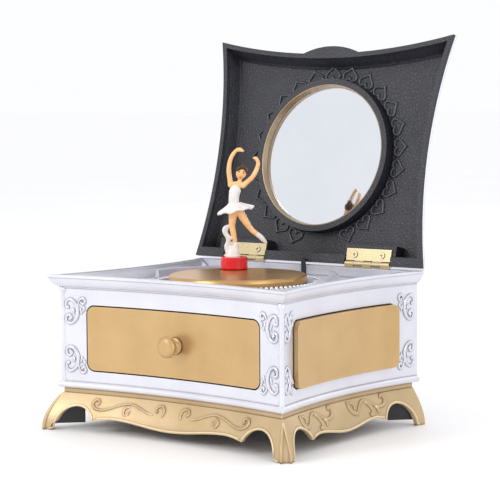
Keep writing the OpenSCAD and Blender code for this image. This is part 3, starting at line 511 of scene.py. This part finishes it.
LEATHER = leather("leather_grain")
NYLON = moulded("nylon_natural", srgb(238, 236, 226), srgb(228, 226, 214), 0.42)
VELVET = flock("drawer_flock")
MIRROR = looking_glass("silvered_glass")
RED = moulded(
    "red_gloss", srgb(232, 12, 26), srgb(214, 8, 20), 0.22, 0.01, 1.0, Coat_Weight=0.3, Coat_Roughness=0.1,
)
SKIN = moulded(
    "doll_skin", srgb(255, 206, 146), srgb(246, 184, 116), 0.36, 0.02, 1.4,
    drift_per_mm=0.25, Coat_Weight=0.2,
)
WHITE = moulded(
    "doll_white", srgb(240, 236, 232), srgb(228, 222, 220), 0.38, 0.03, 1.0,
    drift_per_mm=0.3, Coat_Weight=0.15,
)
HAIR = moulded("doll_hair", srgb(62, 34, 22), srgb(88, 52, 34), 0.42, 0.06, 1.4, drift_per_mm=0.6)
EYE = moulded("doll_eye", srgb(36, 20, 16), srgb(50, 28, 20), 0.3)
LIP = moulded("doll_lip", srgb(206, 60, 50), srgb(196, 48, 44), 0.35)

# Which pieces of the frame have which finish. The dancer's own solid is replaced below.
FINISH = {
    SILVER: "case_shell lid_cover",
    TRAY: "top_tray",
    STAGE_GOLD: "stage_disc",
    BASE_GOLD: "base_skirt",
    GOLD: "side_panel_left side_panel_right drawer_front drawer_knob",
    BEZEL_GOLD: "mirror_bezel",
    BRASS: "lid_leaf_left lid_leaf_right case_leaf_left case_leaf_right hinge_pin_left hinge_pin_right "
    "hinge_lid_screws hinge_case_screws spring_barrel winding_key music_cylinder cylinder_gear comb_screws",
    STEEL: "knob_screw case_screws stop_spring movement_screws mainspring winding_arbor output_spindle "
    "tone_comb stage_axle axle_clip drive_magnet dancer_magnet",
    ZINC: "stop_bracket movement_bed cylinder_brackets comb_block",
    BLACK: "bottom_plate drawer_runner_left drawer_runner_right stop_pin",
    LEATHER: "lid_liner",
    NYLON: "drive_gear air_brake rotor_gear magnet_arm dancer_figure",
    VELVET: "drawer_tray",
    MIRROR: "lid_mirror",
    RED: "dancer_base",
}
for finish, names in FINISH.items():
    for piece in names.split():
        nodes[piece].data.materials.clear()
        nodes[piece].data.materials.append(finish)


# ---------------------------------------------------------------- silver scrolls

# One C-scroll with its curl and leaves, drawn from the outer edge (0) towards the panel, and upwards.
# Each point is its two places on the wall and its share of the stroke's full width.
C_SCROLL = [
    (3.2, 9.0, 1.25), (2.2, 8.7, 1.0), (1.3, 9.9, 0.8), (1.9, 11.8, 0.85), (3.8, 12.9, 0.95),
    (6.2, 11.7, 1.15), (7.9, 9.2, 1.4), (8.3, 6.2, 1.45), (7.5, 3.2, 1.3), (5.5, 1.0, 1.0), (3.1, 0.6, 0.85),
    (1.6, 2.0, 0.8), (1.8, 4.1, 0.95), (3.4, 4.9, 1.0), (4.4, 3.6, 1.25), (3.5, 2.7, 1.3),
]
CURL = [
    (8.4, 9.6, 0.4), (9.0, 11.4, 0.8), (10.2, 13.2, 1.0), (11.9, 13.5, 1.1), (12.8, 12.1, 1.05),
    (11.9, 10.7, 1.0), (10.6, 11.1, 1.1), (10.9, 12.0, 1.0),
]
LEAVES = [
    [(12.3, 9.6, 0.3), (12.2, 8.3, 1.2), (11.6, 7.0, 0.9), (11.3, 6.3, 0.2)],
    [(9.8, 8.9, 0.2), (10.1, 7.6, 1.0), (10.6, 6.2, 1.1), (10.7, 5.0, 0.2)],
    [(5.0, 8.4, 0.4), (6.0, 7.0, 1.1), (6.0, 5.4, 0.4)],
]


def scroll_group(soup, place, edge, toward, low, up, squeeze=1.0):
    """A scroll group beside a corner: edge is the outer end, toward +1 or -1, up +1 or -1 for mirrored."""

    def laid(path):
        return [(edge + toward * a * squeeze, low + (b if up > 0 else SCROLL_H - b), k) for a, b, k in path]

    soup.relief(place, laid(C_SCROLL), 1.75, 0.95)
    soup.relief(place, laid(CURL), 1.45, 0.85)
    for leaf in LEAVES:
        soup.relief(place, laid(leaf), 1.5, 0.8)


def silver_scrolls():
    """A scroll group above and below in every corner of the front and the sides."""
    soup = Soup()
    for sign in (-1, 1):
        for low, up in SCROLL_LOW:
            scroll_group(soup, on_front, sign * FRONT_EDGE_X, -sign, low, up)
    soup.make("scrolls_front", "case", RELIEF, "silver_body")
    for sign, side in ((-1, "left"), (1, "right")):
        soup = Soup()
        for low, up in SCROLL_LOW:
            scroll_group(soup, on_side(sign), SIDE_EDGE_FRONT, 1, low, up, 0.74)
            scroll_group(soup, on_side(sign), SIDE_EDGE_BACK, -1, low, up, 0.95)
        soup.make("scrolls_" + side, "case", RELIEF, "silver_body")


# The corner bead's radius at each height: it swells under the cornice.
CORNER_BEAD = ((24.6, 1.5), (26, 1.4), (40, 1.35), (60, 1.35), (70.6, 1.4), (71.4, 1.9), (72.4, 2.0))


def corner_beads():
    """A round bead down each front corner of the case."""
    soup = Soup()
    for sign in (-1, 1):
        x, y = sign * (HALF_W - 0.7), FRONT_Y + 0.7
        soup.tube([(x, y, z, r) for z, r in CORNER_BEAD], 20)
    soup.make("corner_beads", "case", RELIEF, "silver_body")


# ---------------------------------------------------------------- gold base


def apron_edge(u, cusp):
    """Height of the apron's lower edge at u."""
    t = min(abs(u) / cusp, 1.0)
    if t < 0.78:
        return 4.9 + 1.4 * (1 - math.cos(math.pi * t / 0.78))
    return 7.7 - 1.5 * ((t - 0.78) / 0.22) ** 1.6


# Strokes of the base's relief, from the middle of the front outwards and from a group's start on the sides.
FRONT_STEM = [
    (12.0, 12.2, 0.3), (16, 12.9, 0.7), (21, 14.6, 0.8), (27, 16.0, 0.8), (33, 15.1, 0.8), (39, 13.0, 0.8),
    (44, 11.9, 0.9), (48.2, 12.6, 1.1), (50.0, 14.6, 1.2), (49.0, 16.3, 1.1), (47.0, 16.4, 0.9),
    (46.3, 15.1, 1.0), (47.2, 14.4, 1.2),
]
FRONT_HOOK = [
    (6.2, 11.8, 0.5), (5.4, 13.6, 1.0), (5.9, 15.6, 1.1), (7.9, 16.7, 1.1), (10.0, 16.0, 1.0),
    (10.6, 14.5, 0.9), (9.4, 13.7, 1.1),
]
FRONT_LEAF = [
    [(26.8, 14.6, 0.2), (29.2, 14.0, 0.9), (30.4, 12.5, 1.2), (29.6, 10.9, 0.9), (28.4, 10.2, 0.3)],
    [(26.2, 13.2, 0.2), (27.2, 12.0, 1.0), (27.0, 10.8, 0.5)],
]
SIDE_GROUP = [
    [(0.2, 18.0, 0.7), (0.2, 15.8, 1.3), (1.6, 13.2, 1.5), (4.2, 12.0, 1.1), (7.0, 13.6, 0.8),
     (9.8, 16.0, 0.8), (13.0, 17.2, 0.9), (16.4, 16.4, 1.0), (19.8, 14.4, 1.0), (23.4, 13.0, 0.9),
     (27.0, 13.4, 1.0), (29.6, 15.0, 1.3), (30.0, 17.2, 1.3), (28.2, 18.0, 1.0), (27.2, 16.8, 0.8)],
    [(2.2, 17.4, 0.4), (4.2, 16.6, 1.0), (4.6, 15.0, 0.9), (3.4, 14.4, 0.6)],
    [(14.0, 16.4, 0.5), (16.6, 14.6, 1.2), (18.0, 12.0, 1.5), (16.4, 9.8, 1.2), (14.8, 10.6, 0.8)],
    [(20.6, 13.4, 0.4), (22.0, 12.0, 1.1), (21.4, 10.2, 0.6)],
]
SIDE_STARTS = (-40.2, 5.0)


def base_relief(name, wall, cusp, toe, middle, strokes, width):
    """The strokes on one side of the base, and the raised line along its apron and foot arches."""
    soup = Soup()
    place = flared(wall)

    def laid(path, sign):
        return [(middle + sign * p[0],) + tuple(p[1:]) for p in path]

    for stroke in strokes:
        soup.relief(place, stroke, width, 0.75)
    edge = []
    for i in range(-29, 30):
        u = cusp * i / 30
        edge.append((middle + u, apron_edge(u, cusp) + 0.8, 1.0))
    soup.relief(place, edge, 1.1, 0.4, per=2)
    for sign in (-1, 1):
        arch = []
        for i in range(13):
            a = math.radians(154 - i * 154 / 12)
            r = ARCH_R + 0.7
            arch.append((cusp + 11 + r * math.cos(a), ARCH_Z + r * math.sin(a), 1.0))
        arch.append((toe + 0.9, 0.7, 0.8))
        soup.relief(place, laid(arch, sign), 1.1, 0.4, per=3)
    soup.make(name, "case", BASE_GOLD, "base_gold")


def flute_edge(wall, u, limit, z):
    """Where the hollow down a front foot's corner meets a wall, at one height."""
    far = FLUTE_R + FLUTE_IN
    centre = Vector((HALF_W + far / math.sqrt(2), FRONT_Y - far / math.sqrt(2)))
    radius = far - FLUTE_IN * math.cos(math.pi / 2 * z / APRON_TOP) - 0.4
    low, high = u, limit
    for _ in range(30):
        mid = (low + high) / 2
        p = wall(mid, z, flare(z))
        if (Vector((p.x, p.y)) - centre).length > radius:
            low = mid
        else:
            high = mid
    return wall(low, z, flare(z))


def foot_ridges():
    """Two raised ridges that frame the hollow of each front foot and meet above it."""
    soup = Soup()
    for wall, u, limit in ((on_front, 60.0, 82.0), (on_side(1), -45.0, -70.0)):
        path = []
        for i in range(15):
            z = 0.7 + 16.6 * i / 14
            p = flute_edge(wall, u, limit, z)
            path.append((p.x, p.y, z, 0.85 - 0.4 * i / 14))
        for sign in (-1, 1):
            soup.tube([(sign * x, y, z, r) for x, y, z, r in path], 12, facing=(0, 0, 1))
    soup.make("foot_ridges", "case", BASE_GOLD, "base_gold")


# ---------------------------------------------------------------- stage and lid


def stage_beads():
    """A row of beads on the raised ring round the stage."""
    soup = Soup()
    for i in range(BEAD_COUNT):
        a = 2 * math.pi * i / BEAD_COUNT
        at = (RING_R * math.cos(a), STAGE_Y + RING_R * math.sin(a), RING_Z)
        soup.ball(at, BEAD_R, segments=12, rows=8)
    soup.make("stage_beads", "case", RELIEF, "tray_silver")


def heart(size):
    """A heart's outline: its notch at the origin end, its tip outwards."""
    points = []
    for k in range(36):
        t = 2 * math.pi * k / 36
        across = math.sin(t) ** 3 * size * 0.56
        along = (13 * math.cos(t) - 5 * math.cos(2 * t) - 2 * math.cos(3 * t) - math.cos(4 * t)) / 29
        points.append((across, (0.41 - along) * size * 0.92))
    return points


def lid_hearts():
    """Raised hearts and a ring of pearls round the mirror, left out where the hinges need the room."""
    soup = Soup()
    for i in range(HEART_COUNT):
        a = 2 * math.pi * (i + 0.5) / HEART_COUNT
        c, s = math.cos(a), math.sin(a)
        outline = []
        for across, along in heart(HEART_SIZE):
            r = HEART_RING_R + along
            outline.append((c * r - s * across, MIRROR_Y + s * r + c * across, 1.0))
        if max(p[1] for p in outline) < HEART_LIMIT_Y:
            soup.relief(lid_inside, outline, 1.35, 1.1, closed=True, per=2)
    for k in range(PEARL_COUNT):
        a = 2 * math.pi * k / PEARL_COUNT
        x, y = HEART_RING_R * math.cos(a), MIRROR_Y + HEART_RING_R * math.sin(a)
        if y < PEARL_LIMIT_Y:
            soup.ball(lid_inside(x, y, 0.15), PEARL_R, segments=8, rows=6)
    soup.make("lid_hearts", "lid", RIM_BLACK, "lid_black")


# ---------------------------------------------------------------- dancer


def local(p):
    """The dancer's frame: across to her left, out to the front, and up from the top of her base."""
    c, s = math.cos(DANCER_TURN), math.sin(DANCER_TURN)
    x, y = p[0], -p[1]
    return Vector((DANCER[0] + x * c - y * s, DANCER[1] + x * s + y * c, DANCER[2] + p[2]))


def limb(soup, path, flat=1.0, sides=14):
    """A smooth tube through (across, out, up, radius) points of the dancer's frame."""
    pts = smooth_path(path, 5)
    soup.tube([tuple(local(p[:3])) + (p[3],) for p in pts], sides, flat)


def lump(soup, centre, radius, squash, lean):
    """A ball in the dancer's frame, leaning in her plane by an angle in degrees."""
    turn = Matrix.Rotation(DANCER_TURN, 3, "Z") @ Matrix.Rotation(math.radians(lean), 3, "Y")
    soup.ball(local(centre), radius, squash, turn, 24, 16)


# The modifiers that fuse the dancer's limbs into one skin and calm it, and how far her head leans.
FUSED = ("REMESH", {"mode": "VOXEL", "voxel_size": 0.30 * MM})
CALM = ("SMOOTH", {"factor": 0.5, "iterations": 5})
HEAD_LEAN = 18

# Her limbs, as points across, out and up from the top of her base, and a radius.
STANDING_LEG = [
    (0.9, 0.1, 5.5, 1.15), (0.6, 0, 8, 1.2), (-0.2, 0.15, 12, 1.55), (-0.9, 0, 16, 1.65),
    (-0.7, 0.1, 20, 2.1), (-0.3, 0, 25.5, 2.5),
]
RAISED_LEG = [
    (2.6, 0.2, 25, 2.4), (4.6, 0.4, 21.4, 2.15), (7.0, 0.5, 17.6, 1.75), (9.2, 0.3, 14.6, 1.45),
    (11.4, 0.2, 12.6, 1.4), (13.4, 0.1, 11.1, 1.15),
]
TRUNK = [
    (0.8, 0, 26, 2.9), (0.2, 0.1, 29, 2.6), (0.3, 0.3, 33, 2.7), (1.1, 0.4, 36, 2.75),
    (2.1, 0.2, 38.2, 2.1),
]
SHOULDERS = [(-1.0, 0.2, 38.4, 1.35), (2.2, 0.1, 38.9, 1.3), (5.2, 0.2, 38.1, 1.3)]
NECK = [(2.5, 0.1, 38.4, 1.25), (3.2, 0.1, 40.2, 1.05), (3.6, 0.15, 42, 1.1)]
HIGH_ARM = [
    (-1.5, 0.2, 38.2, 1.55), (-1.9, 0.5, 41, 1.35), (-2.4, 0.8, 45, 1.3), (-2.2, 0.9, 49, 1.2),
    (-1.0, 1.0, 53.0, 1.1), (0.8, 1.1, 55.7, 1.0), (2.4, 1.1, 56.9, 0.95),
]
HIGH_HAND = [(2.2, 1.1, 56.8, 1.1), (3.6, 1.1, 56.8, 1.2), (5.0, 1.1, 56.2, 0.75)]
LOW_ARM = [
    (5.0, 0.2, 37.8, 1.6), (7.4, 0.5, 39.9, 1.4), (10.2, 0.8, 42.6, 1.3), (12.2, 0.9, 46.2, 1.2),
    (13.1, 1.0, 49.4, 1.1), (12.7, 1.0, 51.2, 1.0),
]
LOW_HAND = [(12.8, 1.0, 51.0, 1.05), (11.9, 1.0, 52.2, 1.1), (10.8, 1.0, 52.3, 0.7)]
FRINGE = [
    (1.9, 1.7, 45.6, 0.5), (2.6, 2.5, 46.9, 0.75), (4.6, 2.7, 47.5, 0.8), (6.4, 2.2, 46.6, 0.75),
    (6.9, 1.4, 45.0, 0.5),
]
BODICE = [
    (0.5, 0, 26.5, 3.2), (0.1, 0.1, 28.6, 2.95), (0.15, 0.25, 31.5, 2.95), (0.5, 0.5, 34.3, 3.1),
    (0.9, 0.45, 35.9, 2.95),
]
RAISED_SHOE = [
    (12.3, 0.15, 11.9, 1.42), (14.0, 0.1, 10.6, 1.4), (15.6, 0.1, 8.9, 1.25), (16.9, 0.1, 7.4, 0.85),
]
STANDING_SHOE = [(0.8, 0.2, 6.6, 1.45), (1.0, 0.5, 4.2, 1.55), (1.1, 0.9, 2.2, 1.6), (0.9, 1.2, 1.0, 1.5)]


def dancer():
    """The painted figure, in place of the part's simple one."""
    soup = Soup()
    limb(soup, STANDING_LEG)
    limb(soup, RAISED_LEG)
    limb(soup, TRUNK, flat=0.78)
    limb(soup, SHOULDERS)
    limb(soup, NECK)
    limb(soup, HIGH_ARM)
    limb(soup, HIGH_HAND, flat=0.75)
    limb(soup, LOW_ARM)
    limb(soup, LOW_HAND, flat=0.75)
    # The head, its chin and its nose.
    lump(soup, (4.1, 0.3, 44.5), 3.0, (0.93, 0.98, 1.12), HEAD_LEAN)
    lump(soup, (3.7, 0.9, 42.9), 1.9, (0.95, 0.95, 0.9), HEAD_LEAN)
    lump(soup, (3.95, 3.1, 43.7), 0.42, (0.7, 1.0, 1.1), HEAD_LEAN)
    body = soup.make("dancer_body", "dancer", SKIN, "dancer_paint")
    applied(body, FUSED, CALM)

    hair = Soup()
    lump(hair, (4.5, -0.35, 45.2), 3.0, (0.99, 0.98, 1.02), HEAD_LEAN)
    lump(hair, (5.6, -1.4, 47.9), 1.45, (1.1, 1.0, 0.8), HEAD_LEAN)
    limb(hair, FRINGE)
    hair = hair.make("dancer_hair", "dancer", HAIR, "dancer_paint")
    applied(hair, FUSED, CALM)
    for v in hair.data.vertices:
        wave = noise.noise(Vector((v.co.x * 900, v.co.y * 900, v.co.z * 350)))
        v.co += v.normal * (0.12 * MM * wave)

    face = Soup()
    lean = math.radians(HEAD_LEAN)
    for across in (-1.12, 1.12):
        x = 4.05 + across * math.cos(lean) + 0.35 * math.sin(lean)
        z = 44.6 - across * math.sin(lean) + 0.35 * math.cos(lean)
        lump(face, (x, 2.78, z), 0.46, (1.15, 0.75, 0.8), HEAD_LEAN)
        brow = [
            (x - 0.6, 2.85, z + 0.75, 0.1),
            (x, 2.9, z + 1.02 - across * 0.1, 0.14),
            (x + 0.6, 2.85, z + 0.7 - across * 0.12, 0.1),
        ]
        limb(face, brow, sides=8)
    face.make("dancer_eyes", "dancer", EYE, "dancer_paint")
    lips = Soup()
    limb(lips, [(2.95, 2.62, 42.45, 0.12), (3.5, 2.85, 42.15, 0.3), (4.1, 2.72, 42.05, 0.12)], sides=10)
    lips.make("dancer_lips", "dancer", LIP, "dancer_paint")

    dress = Soup()
    limb(dress, BODICE, flat=0.82, sides=24)
    lump(dress, (-0.9, 1.3, 34.8), 1.55, (1, 0.9, 1), 0)
    lump(dress, (2.3, 1.3, 34.9), 1.55, (1, 0.9, 1), 0)
    dress = dress.make("dancer_bodice", "dancer", WHITE, "dancer_paint")
    applied(dress, FUSED, CALM)

    skirt(Soup())

    # Both shoes, the curled support beside the standing leg, and the disc under it.
    shoes = Soup()
    limb(shoes, RAISED_SHOE)
    limb(shoes, STANDING_SHOE)
    for path in (
        [(-2.6, 0.2, 0.6, 1.7), (-3.4, 0.2, 3.2, 1.5), (-3.9, 0.2, 5.6, 1.3), (-3.0, 0.2, 8.2, 1.2),
         (-3.4, 0.2, 10.6, 1.25), (-5.0, 0.2, 13.2, 1.2), (-4.6, 0.2, 15.4, 1.2), (-2.8, 0.2, 16.2, 1.0),
         (-1.4, 0.1, 16.8, 0.8)],
        [(-3.6, 0.2, 15.0, 0.8), (-3.9, 0.2, 13.0, 0.7), (-2.9, 0.2, 11.0, 0.9)],
        [(-3.0, 0.2, 10.4, 1.1), (-1.6, 0.2, 10.0, 1.15), (-0.4, 0.1, 10.4, 1.0)],
        [(-2.6, 0.2, 9.0, 0.8), (-2.7, 0.2, 6.9, 0.8), (-2.1, 0.2, 4.8, 1.1)],
        [(-2.4, 0.3, 4.4, 1.5), (-0.6, 0.3, 4.2, 1.6), (0.8, 0.4, 4.6, 1.4)],
        [(-2.4, 0.3, 1.8, 1.8), (-0.4, 0.4, 1.8, 1.8), (1.4, 0.5, 1.8, 1.7)],
    ):
        limb(shoes, path)
    disc = [(-0.8, 0.0, z, r) for z, r in ((0.1, 4.1), (0.5, 4.2), (0.9, 4.1), (1.2, 3.6))]
    shoes.tube([tuple(local(p[:3])) + (p[3],) for p in disc], 40)
    shoes = shoes.make("dancer_support", "dancer", WHITE, "dancer_paint")
    applied(shoes, FUSED, CALM)
    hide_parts("dancer_figure")


def skirt(soup):
    """The short skirt: a wide fluted bell with a thick rolled hem."""
    around, rows, thick = 120, 14, 1.1
    outer, inner = [], []
    for i in range(rows + 1):
        t = i / rows
        top, bottom = [], []
        for k in range(around):
            a = 2 * math.pi * k / around
            ca, sa = math.cos(a), math.sin(a)
            flute = math.sin(9 * a + 0.6) * 0.55 + math.sin(5 * a + 2.0) * 0.35
            reach_x = 9.7 + (0.2 if ca > 0 else 0.3) * abs(ca)
            reach_y = 6.6
            hem_z = 25.0 + 1.8 * ca + 0.35 * flute
            rr = t**1.12
            x = 0.6 + 0.4 * t + ca * (3.0 + (reach_x - 3.0) * rr) + 0.28 * flute * t * ca
            y = 0.1 + sa * (2.5 + (reach_y - 2.5) * rr) + 0.28 * flute * t * sa
            z = 29.2 + (hem_z - 29.2) * t**0.86 + 0.3 * flute * t
            top.append(local((x, y, z)))
            bottom.append(local((x * 0.98 + 0.01, y * 0.98, z - thick * (0.5 + 0.5 * t))))
        outer.append(top)
        inner.append(bottom)
    soup.rings(outer + inner[::-1], closed=True)
    obj = soup.make("dancer_skirt", "dancer", WHITE, "dancer_paint")
    applied(obj, ("SUBSURF", {"levels": 1}))


silver_scrolls()
corner_beads()
front_strokes = []
for sign in (-1, 1):
    for stroke in [FRONT_STEM, FRONT_HOOK] + FRONT_LEAF:
        front_strokes.append([(sign * p[0],) + p[1:] for p in stroke])
side_strokes = []
for start in SIDE_STARTS:
    for stroke in SIDE_GROUP:
        side_strokes.append([(start + p[0],) + p[1:] for p in stroke])
base_relief("apron_front", on_front, CUSP_FRONT, TOE_FRONT, 0.0, front_strokes, 1.6)
base_relief("apron_right", on_side(1), CUSP_SIDE, TOE_SIDE, SIDE_APRON_Y, side_strokes, 2.0)
base_relief("apron_left", on_side(-1), CUSP_SIDE, TOE_SIDE, SIDE_APRON_Y, side_strokes, 2.0)
foot_ridges()
stage_beads()
lid_hearts()
dancer()


# ---------------------------------------------------------------- studio


# Lengths here are in metres: the floor's half width, the lights (place, aim, watts, width), and the camera.
FLOOR_HALF = 40.0
LIGHTS = {
    "key": ((-0.5, -1.2, 0.8), (0, 0, 0.08), 6.0, 0.5),
    "fill": ((1.3, -0.35, 0.5), (0, 0, 0.08), 2.5, 0.8),
    "rim": ((0.3, 1.2, 0.9), (0, 0, 0.1), 2.5, 0.8),
}
CAMERA_AT = (0.55135, -0.71308, 0.16539)
CAMERA_TURN, CAMERA_DOWN, CAMERA_ROLL = math.radians(37.27), math.radians(4.67), math.radians(-0.378)
CAMERA_LENS, CAMERA_SENSOR = 126.2, 36.0


def studio():
    """A pale floor under a white sky, three soft lights and the camera."""
    corners = [(x * FLOOR_HALF, y * FLOOR_HALF, 0) for x, y in ((-1, -1), (1, -1), (1, 1), (-1, 1))]
    floor = bpy.data.meshes.new("floor")
    floor.from_pydata(corners, [], [(0, 1, 2, 3)])
    g = Graph("pale_floor")
    tone = g.mix(g.ramp(g.noise(0.004, 2.0), 0.3, 0.7), srgb(252, 252, 253), srgb(254, 254, 255))
    floor.materials.append(g.finish(tone, 0.6))
    floor_obj = bpy.data.objects.new("floor", floor)
    bpy.context.scene.collection.objects.link(floor_obj)

    world = bpy.data.worlds.new("studio")
    bpy.context.scene.world = world
    world.use_nodes = True
    background = world.node_tree.nodes["Background"]
    background.inputs["Color"].default_value = (0.985, 0.988, 1.0, 1.0)
    background.inputs["Strength"].default_value = 1.0

    for name, (at, look, power, wide) in LIGHTS.items():
        data = bpy.data.lights.new(name, "AREA")
        data.energy, data.size = power, wide
        lamp = bpy.data.objects.new(name, data)
        lamp.location = at
        lamp.rotation_euler = (Vector(look) - Vector(at)).to_track_quat("-Z", "Y").to_euler()
        bpy.context.scene.collection.objects.link(lamp)

    data = bpy.data.cameras.new("camera")
    data.lens, data.sensor_width = CAMERA_LENS, CAMERA_SENSOR
    data.clip_start, data.clip_end = 0.05, 100.0
    cam = bpy.data.objects.new("camera", data)
    a, e = CAMERA_TURN, CAMERA_DOWN
    ahead = Vector((-math.sin(a) * math.cos(e), math.cos(a) * math.cos(e), -math.sin(e)))
    level = Vector((math.cos(a), math.sin(a), 0))
    upright = level.cross(ahead)
    c, s = math.cos(CAMERA_ROLL), math.sin(CAMERA_ROLL)
    turn = Matrix((level * c + upright * s, upright * c - level * s, -ahead)).transposed().to_4x4()
    cam.matrix_world = Matrix.Translation(CAMERA_AT) @ turn
    bpy.context.scene.collection.objects.link(cam)
    bpy.context.scene.camera = cam
    bpy.context.scene.view_settings.view_transform = "Standard"


studio()
